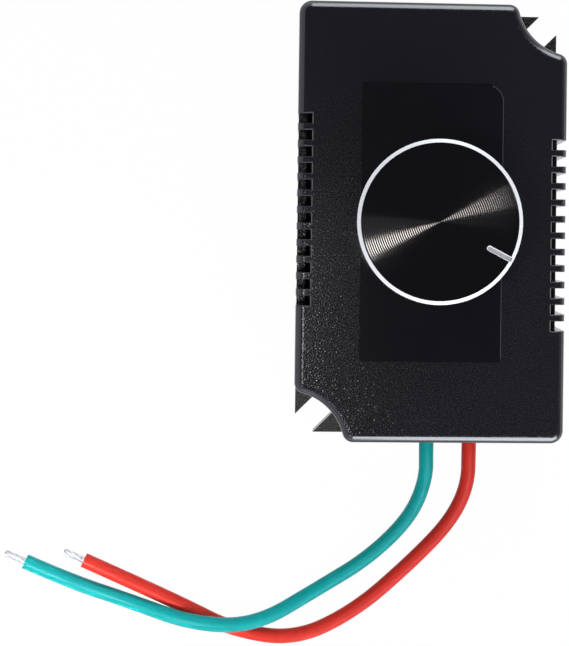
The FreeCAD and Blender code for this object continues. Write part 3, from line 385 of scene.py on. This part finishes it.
warm = (1.0, 0.965, 0.925)
cool = (0.88, 0.92, 1.0)
hang_lamp("key_lamp", (-0.0931, -0.0417, 0.326), (0.026, 0.07), 0.16, warm)
hang_lamp("fringe_lamp", (-0.102, -0.006, 0.326), (0.034, 0.07), 0.005, warm)
hang_lamp("far_lamp", (0.11, 0.424, 0.30), (0.36, 0.48), 1.5, cool)
hang_lamp("near_lamp", (0.16, -0.424, 0.30), (0.4, 0.48), 2.7, cool)
hang_lamp("wire_lamp", (-0.22, -0.22, 0.35), (0.1, 0.1), 0.055, cool, aim=(-0.10, -0.095, 0), beam=20)
print("studio ready")

# %% [markdown]
# ## A way to write finishes
# Every finish starts from the same base: one Principled shader, the surface's own place in
# millimetres and a bump. Places come from Object coordinates, and since every piece sits at the
# origin these are the CAD model's own numbers, so a mark can be put exactly where a drawing
# would put it.

# %% Finishes
finishes = {}
knob_x = 0.65


class Finish(Recipe):
    """A material with one Principled shader, kept in finishes under its slot's name."""

    def __init__(self, name, **looks):
        self.material = bpy.data.materials.new(name)
        self.material.use_nodes = True
        super().__init__(self.material.node_tree)
        self.shader = self.tree.nodes.new("ShaderNodeBsdfPrincipled")
        output = self.tree.nodes.new("ShaderNodeOutputMaterial")
        self.tree.links.new(self.shader.outputs[0], output.inputs["Surface"])
        self.place = self.node("VectorMath", {"operation": "SCALE"},
                               {0: self.node("TexCoord", out="Object"), "Scale": 1 / mm})
        self.x, self.y, self.z = (
            self.node("SeparateXYZ", inputs={"Vector": self.place}, out=axis) for axis in "XYZ")
        self.set(**looks)
        finishes[name] = self.material

    def set(self, **looks):
        for key, value in looks.items():
            socket = self.shader.inputs[key.replace("_", " ").title().replace("Ior", "IOR")]
            if isinstance(value, Signal):
                self.tree.links.new(value.socket, socket)
            else:
                socket.default_value = (*value, 1) if isinstance(value, tuple) else value

    def noise(self, scale, detail=2.0, stretch=(1, 1, 1)):
        """Soft noise from 0 to 1; scale is in cells per millimetre."""
        spot = self.node("VectorMath", {"operation": "MULTIPLY"}, {0: self.place, 1: stretch})
        return self.node("TexNoise", inputs={"Vector": spot, "Scale": scale, "Detail": detail})

    def bump(self, height, depth):
        """Lets a height from 0 to 1 stand for a relief this many millimetres deep."""
        self.set(normal=self.node("Bump", inputs={
            "Height": height, "Distance": depth * mm, "Strength": 1.0}))

    def facing(self, axis):
        """How far the surface faces along an axis of the object, from -1 to 1."""
        normal = self.node("NewGeometry", out="Normal")
        return self.node("SeparateXYZ", inputs={"Vector": normal}, out=axis)

    def from_axis(self, x, y):
        """Distance in millimetres from an upright axis at x, y."""
        return ((self.x - x) ** 2 + (self.y - y) ** 2).root()

    def round_angle(self, x, y):
        """The angle about an upright axis at x, y, in radians."""
        return (self.y - y).angle_from(self.x - x)


print("finish writer ready")

# %% [markdown]
# ## The moulded cover
# The mould for the cover was spark eroded, which leaves a fine even grain of tiny craters. It
# catches the lamps as single bright specks and is what makes the plastic look matt. One noise
# makes the craters' slopes and a finer one their rough floors, so that neighbouring craters
# mirror a lamp by different amounts; painting specks in the colour would be wrong from any other
# side. The grain is strongest near the wires and faintest at the far end. The rounded edges of
# the mould were polished, so the grain ends there and the edges shine like a coat of varnish. The
# polish comes nearest to the flat face at the two ends.

# %% Cover
cover = Finish("cover_plastic", specular_ior_level=0.36, coat_ior=2.0, coat_roughness=0.2)
tone = cover.noise(0.08, 3.0)
cover.set(base_color=cover.blend(tone, (0.0092, 0.0087, 0.0109, 1), (0.0110, 0.0104, 0.0130, 1)))
up = cover.facing("Z")
sideways = abs(cover.facing("X"))
polished = 1.0 - (up + 0.1 * sideways).ramp(0.96, 0.98)
upper_half_of_round = up.ramp(0.685, 0.705)
grained = 1.0 - polished * up.ramp(0.2, 0.4)
craters = cover.noise(3.0, 0.0)
floors = cover.noise(4.0, 0.0).ramp(0.49, 0.63)
wire_end = 1.0 - cover.y.ramp(-42.0, -24.0)
far_end = cover.y.ramp(0.0, 38.0)
cover.bump(craters * (0.03 + 0.97 * grained) * (0.6 + 0.4 * wire_end), 0.05)
cover.set(roughness=0.09 + 0.02 * tone + 0.26 * floors * grained * (1.0 - 0.5 * far_end))
cover.set(coat_weight=polished * upper_half_of_round)
print("cover finish:", len(cover.tree.nodes), "nodes")

# %% [markdown]
# ## The label and the knob
# The label is a smooth film, so it needs little more than a low roughness and the faint waviness
# of something stuck on by hand, with a faint painted reflection tint and a painted highlight along
# its right edge. The knob is the showpiece: a turned cap whose face carries a ring for every turn
# of the lathe, 0.43 mm apart. The rings make the bow-tie of light, because only where a ring runs
# across the lamp's direction does its slope send light to the eye. The rim and the pointer were cut
# after the black anodising and are bare metal, and the pointer's outline is painted lighter than
# its middle as a painted highlight.

# %% Label and knob
label = Finish("label_film", roughness=0.13)
waviness_and_tint_patches = label.noise(0.12, 1.0)
# Faint reddish and bluish patches painted into the film's colour along the waviness are a painted
# reflection tint.
film_with_painted_tint = label.blend(waviness_and_tint_patches, (0.0038, 0.0038, 0.0056, 1), (0.0056, 0.0040, 0.0054, 1))
label.bump(waviness_and_tint_patches + 0.02 * label.noise(3.0, 2.0), 0.05)
label_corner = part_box("face_label")[1] / mm
big_round = 3.5
highlight_width = 0.16
right_side = 12.0
past_corner_x = (label.x - (label_corner.x - big_round)).at_least(0.0)
past_corner_y = (label.y - (label_corner.y - big_round)).at_least(0.0)
from_round = (past_corner_x ** 2 + past_corner_y ** 2).root()
# A thin lighter line painted along the right edge and the big rounded corner is a painted highlight of
# the film's cut edge.
painted_edge_highlight = (from_round > big_round - highlight_width) * (label.x > right_side)
label.set(base_color=label.blend(painted_edge_highlight, film_with_painted_tint, (0.07, 0.07, 0.075, 1)))

knob = Finish("knob_aluminium")
knob_top = 44.5
rim_start = 15.27
ring_pitch = 0.43
wall_pitch = 0.22
pointer_turn = math.radians(-27.5)
pointer_start = 10.8
pointer_half = 0.53
radius = knob.from_axis(knob_x, 0)
on_face = knob.z > knob_top - 1.0
along_pointer = (knob.x - knob_x) * math.cos(pointer_turn) + knob.y * math.sin(pointer_turn)
across_pointer = knob.y * math.cos(pointer_turn) - (knob.x - knob_x) * math.sin(pointer_turn)
before_pointer = (along_pointer - pointer_start).at_most(0.0)
from_pointer = (before_pointer ** 2 + across_pointer ** 2).root()
in_pointer = (from_pointer < pointer_half) * (knob.z > knob_top - 0.7)
on_rim = (radius > rim_start) * (knob.z > knob_top - 0.55)
bare = (in_pointer + on_rim).clamped()
turned = (radius * (math.tau / ring_pitch)).sine() * 0.5 + 0.5
wall_marks = (knob.z * (math.tau / wall_pitch)).sine() * 0.5 + 0.5
fine_marks = knob.noise(5.0, 2.0, stretch=(0.2, 0.2, 4.0))
relief = turned * on_face * (1.0 - bare) + (1.0 - on_face) * (0.35 * wall_marks + 0.05 * fine_marks)
knob.bump(relief, 0.0266)
wear = knob.noise(0.4, 4.0)
black = knob.blend(wear, (0.057, 0.056, 0.059, 1), (0.063, 0.061, 0.061, 1))
# The rim is bright cut metal all round; the pointer's outline is painted lighter than its grey middle as
# a painted highlight along the slot's edges.
rim_and_painted_pointer_highlight = on_rim + from_pointer.ramp(0.3, 0.42)
cut_metal_and_painted_highlight = knob.blend(rim_and_painted_pointer_highlight, (0.46, 0.46, 0.46, 1), (1.0, 0.99, 0.97, 1))
knob.set(base_color=knob.blend(bare, black, cut_metal_and_painted_highlight))
knob.set(metallic=1.0 - 0.9 * bare, roughness=0.07 + 0.33 * bare + 0.02 * wear)
print("knob finish:", len(knob.tree.nodes), "nodes")

# %% [markdown]
# ## The heat sink
# The base is an extrusion: lengthwise drawing lines, then black anodising, then sawing to length
# and punching the ears, which leaves bare bright metal on the end faces and inside the slots. The
# olive specks in the anodising are painted glints.

# %% Heat sink
sink = Finish("black_anodised")
sink_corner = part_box("heat_sink")[1] / mm
skin = 0.05
ear_x = 21.72
ear_y = 39.12
ear_reach = 11.0
foot = 1.2
drawn = sink.noise(1.6, 3.0, stretch=(3.0, 0.05, 3.0))
speckle_and_painted_glints = sink.noise(2.4, 1.0)
end_face = abs(sink.y) > sink_corner.y - skin
slot_wall = (sink.from_axis(ear_x, ear_y) < ear_reach) + (sink.from_axis(-ear_x, -ear_y) < ear_reach)
upright = 1.0 - abs(sink.facing("Z")).ramp(0.2, 0.5)
outer_side = abs(sink.x) > sink_corner.x - skin
bare_cut = (end_face + slot_wall * (1.0 - outer_side)).clamped() * upright * (sink.z > foot)
sawn = sink.noise(2.0, 2.0, stretch=(0.3, 0.3, 6.0))
# The olive specks in the black are painted glints; the same speckle also roughens and bumps the surface
# as a real grain.
anodised_with_painted_glints = sink.blend(speckle_and_painted_glints.ramp(0.45, 0.65), (0.002, 0.002, 0.002, 1), (0.05, 0.05, 0.038, 1))
sink.set(base_color=sink.blend(bare_cut, anodised_with_painted_glints, (0.5, 0.5, 0.5, 1)))
sink.set(metallic=0.25 + 0.75 * bare_cut, roughness=0.36 + 0.3 * speckle_and_painted_glints.ramp(0.35, 0.65))
sink.bump(drawn * (1.0 - bare_cut) * 0.5 + sawn * bare_cut * 0.35 + 0.5 * speckle_and_painted_glints, 0.06)
print("heat sink finish:", len(sink.tree.nodes), "nodes")

# %% [markdown]
# ## Sleeves and strands
# PVC sleeve is extruded too. It shines softly, is faintly uneven and takes its colour right
# through. The solder on the strands has set unevenly, so it is bright in some places and dull in
# others.


# %% Sleeves and strands
def sleeve_finish(name, dark, light):
    sleeve = Finish(name, specular_ior_level=0.15)
    cloud = sleeve.noise(0.5, 3.0)
    sleeve.set(base_color=sleeve.blend(cloud, (*dark, 1), (*light, 1)))
    sleeve.set(roughness=0.30 + 0.12 * sleeve.noise(2.5, 2.0))
    sleeve.bump(sleeve.noise(0.9, 3.0), 0.06)


sleeve_finish("green_pvc", (0.001, 0.28, 0.26), (0.002, 0.35, 0.33))
sleeve_finish("red_pvc", (0.56, 0.022, 0.012), (0.66, 0.032, 0.018))
solder_coat = Finish("tinned_strands", metallic=1.0)
flow = solder_coat.noise(1.8, 3.0)
solder_coat.set(base_color=solder_coat.blend(flow, (0.36, 0.36, 0.36, 1), (0.90, 0.90, 0.89, 1)))
solder_coat.set(roughness=0.22 + 0.2 * flow)
solder_coat.bump(flow, 0.05)
print("wire finishes ready")

# %% [markdown]
# ## Inside the case
# Through the vents one sees a little of the board, so the inner pieces get real finishes too:
# moulded black plastic, nickelled and plain brass, zinc-plated steel, cast zinc, brown laminate
# with its ring of resistive ink, solder mask over copper tracks, and the bodies and bands of the
# small components.


# %% Metals
def metal_colours(name, dark, light, smooth, marks):
    """A metal with its own marks, and the marks; smooth is its lowest roughness."""
    metal = Finish(name, metallic=1.0)
    lines = metal.noise(**marks)
    metal.set(base_color=metal.blend(lines, (*dark, 1), (*light, 1)))
    metal.set(roughness=smooth + 0.18 * lines)
    return metal, lines


def metal_finish(name, dark, light, smooth, marks, depth):
    """A metal whose marks are as deep as given, in millimetres."""
    metal, lines = metal_colours(name, dark, light, smooth, marks)
    metal.bump(lines, depth)


metal_finish("spindle_brass", (0.60, 0.58, 0.52), (0.74, 0.72, 0.67), 0.2,
             {"scale": 2.0, "stretch": (0.2, 0.2, 5.0)}, 0.01)
metal_finish("contact_brass", (0.58, 0.42, 0.19), (0.76, 0.57, 0.27), 0.22,
             {"scale": 1.2, "detail": 3.0}, 0.02)
metal_finish("zinc_plated_steel", (0.48, 0.50, 0.54), (0.66, 0.68, 0.70), 0.22,
             {"scale": 1.0, "detail": 4.0}, 0.01)
metal_finish("tinned_metal", (0.58, 0.58, 0.58), (0.74, 0.74, 0.75), 0.25,
             {"scale": 1.5, "detail": 3.0}, 0.015)
cast, cast_marks = metal_colours("cast_zinc", (0.36, 0.37, 0.39), (0.52, 0.53, 0.55), 0.38,
                                 {"scale": 2.5, "detail": 4.0})
bush_radius = 3.5
bush_foot = 23.7
thread_pitch = 0.75
thread_depth = 0.3
from_spindle = cast.from_axis(knob_x, 0)
on_thread = (abs(from_spindle - bush_radius) < 0.2) * (cast.z > bush_foot)
helix = (cast.z * (math.tau / thread_pitch) - cast.round_angle(knob_x, 0)).sine() * 0.5 + 0.5
cast.bump(helix * on_thread + 0.1 * cast_marks, thread_depth)
print("finishes so far:", sorted(finishes))


# %% Plastics and coats
def plain_finish(name, dark, light, roughness, scale, depth):
    """A moulded or pressed material with soft patches, and its colour."""
    coat = Finish(name)
    patch = coat.noise(scale, 3.0)
    colour = coat.blend(patch, (*dark, 1), (*light, 1))
    coat.set(base_color=colour, roughness=roughness + 0.1 * patch)
    coat.bump(patch, depth)
    return coat, colour


plain_finish("core_plastic", (0.014, 0.014, 0.015), (0.024, 0.024, 0.026), 0.42, 2.0, 0.02)
track, laminate = plain_finish("phenolic", (0.16, 0.07, 0.025), (0.27, 0.13, 0.05), 0.45, 1.0, 0.02)
ink_inside = 4.45
ink_outside = 6.1
track_radius = track.from_axis(knob_x, 0)
ink = (track_radius > ink_inside) * (track_radius < ink_outside) * (track.facing("Z") < -0.5)
track.set(base_color=track.blend(ink, laminate, (0.012, 0.012, 0.012, 1)))

board_under = 13.5
board_top = 15.1
parts_row = 19.0


def wired_coat(name, dark, light, on_wire, roughness=0.25, bands=()):
    """A coated component on tinned wires; on_wire tells where the wires are, from its own place.

    A band is a distance from the component's middle, half a width and a colour.
    """
    part = Finish(name)
    wire = on_wire(part)
    patch = part.noise(0.8, 2.0)
    colour = part.blend(patch, (*dark, 1), (*light, 1))
    for offset, half, shade in bands:
        colour = part.blend(abs(part.y - (parts_row + offset)) < half, colour, (*shade, 1))
    part.set(base_color=part.blend(wire, colour, (0.66, 0.66, 0.67, 1)))
    part.set(metallic=1.0 * wire, roughness=roughness + 0.1 * patch)
    part.bump(patch, 0.04)


resistor_end = 3.22
diac_end = 1.97
wired_coat("capacitor_dip", (0.24, 0.03, 0.012), (0.36, 0.055, 0.02),
           lambda part: part.z < board_top + 0.3)
wired_coat("resistor_coat", (0.42, 0.30, 0.17), (0.56, 0.42, 0.26),
           lambda part: abs(part.y - parts_row) > resistor_end,
           bands=[(-2.0, 0.3, (0.25, 0.02, 0.01)), (-0.9, 0.3, (0.05, 0.02, 0.01)),
                  (0.2, 0.3, (0.5, 0.2, 0.01)), (2.2, 0.3, (0.45, 0.3, 0.06))])
wired_coat("diac_body", (0.02, 0.05, 0.22), (0.035, 0.08, 0.3),
           lambda part: abs(part.y - parts_row) > diac_end,
           roughness=0.12, bands=[(0.0, 0.35, (0.01, 0.01, 0.02))])
print("coats ready")

# %% [markdown]
# ## The board and its solder
# The board's tracks are broad copper areas under green solder mask, so they show as slightly
# lighter and raised islands. Where a pin passes the board a small cone of solder joins them. The
# cones are made in one loop and kept as one piece.

# %% Board
board = Finish("board_laminate")
islands = board.node("TexVoronoi", {"feature": "DISTANCE_TO_EDGE"},
                     {"Vector": board.place, "Scale": 0.09, "Randomness": 0.8})
copper = islands.ramp(0.035, 0.05)
weave = board.noise(2.0, 2.0)
board_edge = 1.0 - abs(board.facing("Z")).ramp(0.3, 0.6)
mask_colour = board.blend(copper, (0.012, 0.075, 0.03, 1), (0.02, 0.15, 0.055, 1))
board.set(base_color=board.blend(board_edge, mask_colour, (0.32, 0.27, 0.13, 1)))
board.set(roughness=0.28 + 0.3 * board_edge + 0.05 * weave)
board.bump(copper + 0.1 * weave, 0.04)


# %% Solder joints
def pins_across(x, y, level, steps):
    """Places of pins in a row along X; steps are their distances from its middle."""
    return [(x + step, y, level) for step in steps]


def pins_along(x, y, level, steps):
    """The same for a row along Y."""
    return [(x, y + step, level) for step in steps]


pins = []
for capacitor_x in (-11.5, 11.5):
    pins += pins_across(capacitor_x, -19.55, board_under, (-5, 5))
for resistor_x in (-18.5, -14.5, 14.5, 18.5):
    pins += pins_along(resistor_x, parts_row, board_under, (-5, 5))
diac_x = 10.5
pins += pins_along(diac_x, parts_row, board_under, (-3.75, 3.75))
tags_y = -10.4
pins += pins_across(knob_x, tags_y, board_under, (-5, 0, 5))
triac_legs_y = 9.55
pins += pins_across(0, triac_legs_y, board_top, (-2.54, 0, 2.54))
wires_y = -28.5
pins += [(route[0][0], wires_y, board_top) for route in wire_routes.values()]

cone_height = 0.9
cone_gap = 0.02
cone_foot = 1.1
cone_tip = 0.5
cone_round = 0.15
bm = bmesh.new()
for x, y, level in pins:
    way = 1 if level == board_top else -1
    middle = Matrix.Translation(Vector((x, y, level + way * (cone_height / 2 + cone_gap))) * mm)
    upside = Matrix.Rotation(0 if way > 0 else math.pi, 4, "X")
    cone = bmesh.ops.create_cone(bm, cap_ends=True, segments=20, radius1=cone_foot * mm,
                                 radius2=cone_tip * mm, depth=cone_height * mm,
                                 matrix=middle @ upside)
    edges = {edge for vertex in cone["verts"] for edge in vertex.link_edges}
    rims = [edge for edge in edges if abs(edge.verts[0].co.z - edge.verts[1].co.z) < 0.0001 * mm]
    bmesh.ops.bevel(bm, geom=rims, offset=cone_round * mm, affect="EDGES", segments=2,
                    profile=0.5, material=-1)
joints = add_object("solder_joints", mesh_from("solder_joints", bm, 60))
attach(joints, "case")
joints.data.materials.append(finishes["tinned_strands"])
print(len(pins), "solder joints")

# %% [markdown]
# ## Every piece gets its finish
# The record says which finish each solid has. A solid that came from CAD keeps its mesh and only
# takes the new material.

# %% Finishes onto pieces
for entry in frame["record"]["subparts"]:
    data = solids[entry["node"]].data
    data.materials.clear()
    data.materials.append(finishes[entry["material_slot"]])
for colour in wires:
    wires[colour].data.materials.append(finishes[f"{colour}_pvc"])
    strands[colour].data.materials.append(finishes["tinned_strands"])
print("finishes used:", sorted(finishes))

# %% [markdown]
# ## Last look
# The picture keeps its colours as they are written.

# %% Colours as written
bpy.context.scene.view_settings.view_transform = "Standard"
bpy.context.view_layer.update()
